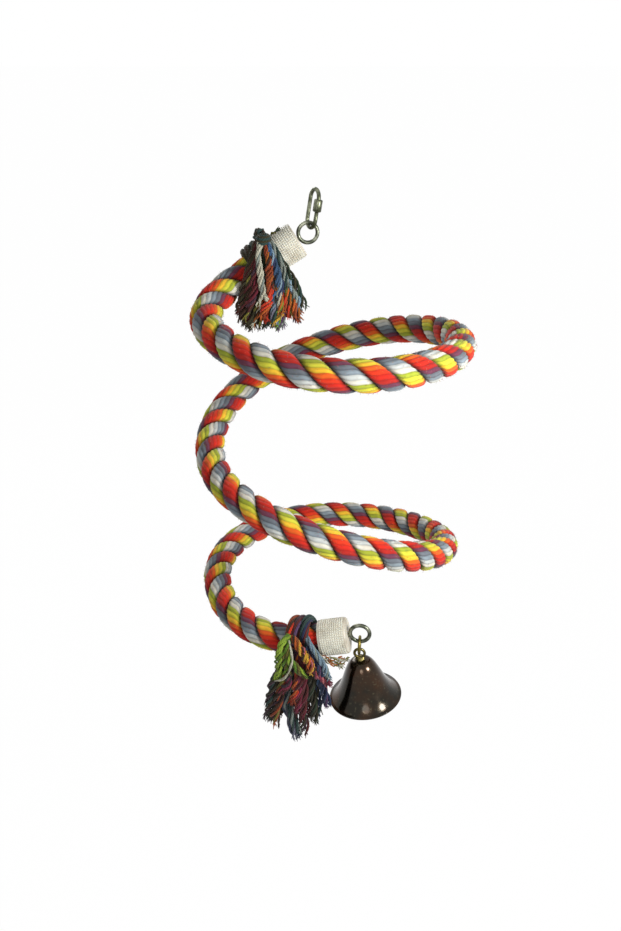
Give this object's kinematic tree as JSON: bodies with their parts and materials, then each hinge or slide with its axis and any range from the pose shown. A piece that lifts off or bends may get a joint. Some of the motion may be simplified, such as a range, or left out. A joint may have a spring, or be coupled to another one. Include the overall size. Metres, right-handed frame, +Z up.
{
  "type": "hanging rope perch",
  "caption": "Hanging bird perch: a spiral of thick rope on a bendable wire, with capped ends, frayed tassels, a quick link to hang it by and a bell below.",
  "frame": {"origin": "where the inside of the quick link bears on the hook or bar that it hangs from", "axes": "+Z up against gravity, +X to the right and -Y towards the front, where the bell hangs"},
  "size_m": [0.25, 0.273, 0.4632],
  "materials": {
    "link_zinc": "dull zinc plating, darkened",
    "eye_steel": "zinc-plated wire, dull",
    "wire_steel": "plain drawn wire",
    "cap_plastic": "off-white with a fine ribbed grid",
    "rope_cotton": "dyed cotton in many colours, twisted in three strands",
    "tassel_cotton": "dyed cotton yarn, loose and frayed",
    "ring_brass": "yellow-plated wire",
    "bell_chrome": "bright plating",
    "bell_fittings": "bright plating, duller"
  },
  "bodies": {
    "link": {"quick_link": "link_zinc"},
    "nut": {"link_nut": "link_zinc"},
    "perch": {"upper_eye": "eye_steel", "upper_ferrule": "wire_steel", "upper_cap": "cap_plastic", "core_wire": "wire_steel", "perch_rope": "rope_cotton", "upper_tassel": "tassel_cotton", "lower_tassel": "tassel_cotton", "lower_cap": "cap_plastic", "lower_ferrule": "wire_steel", "lower_eye": "eye_steel"},
    "ring": {"bell_ring": "ring_brass"},
    "bell": {"crown_loop": "bell_fittings", "crown_washer": "bell_fittings", "crown_nut": "bell_fittings", "bell_shell": "bell_chrome"},
    "clapper": {"clapper_rod": "bell_fittings", "clapper_ball": "bell_fittings"}
  },
  "joints": [
    {"name": "nut_run", "type": "slide", "parent": "link", "child": "nut", "axis": [-0.1564, 0, -0.9877], "range_m": [0, 0.0076]},
    {"name": "perch_swing", "type": "hinge", "parent": "link", "child": "perch", "pos_m": [-0.00473, 0, -0.02988], "axis": [0.203, -0.9792, 0], "range_deg": [-45, 45]},
    {"name": "ring_swing", "type": "hinge", "parent": "perch", "child": "ring", "pos_m": [0.04246, -0.14389, -0.36109], "axis": [0.9956, -0.0941, 0], "range_deg": [-35, 35]},
    {"name": "bell_swing", "type": "hinge", "parent": "ring", "child": "bell", "pos_m": [0.04246, -0.14389, -0.37229], "axis": [-0.0941, -0.9956, 0], "range_deg": [0, 50]},
    {"name": "clapper_swing", "type": "hinge", "parent": "bell", "child": "clapper", "pos_m": [0.04531, -0.14416, -0.39264], "axis": [-0.0941, -0.9956, 0], "range_deg": [-30, 40]}
  ]
}
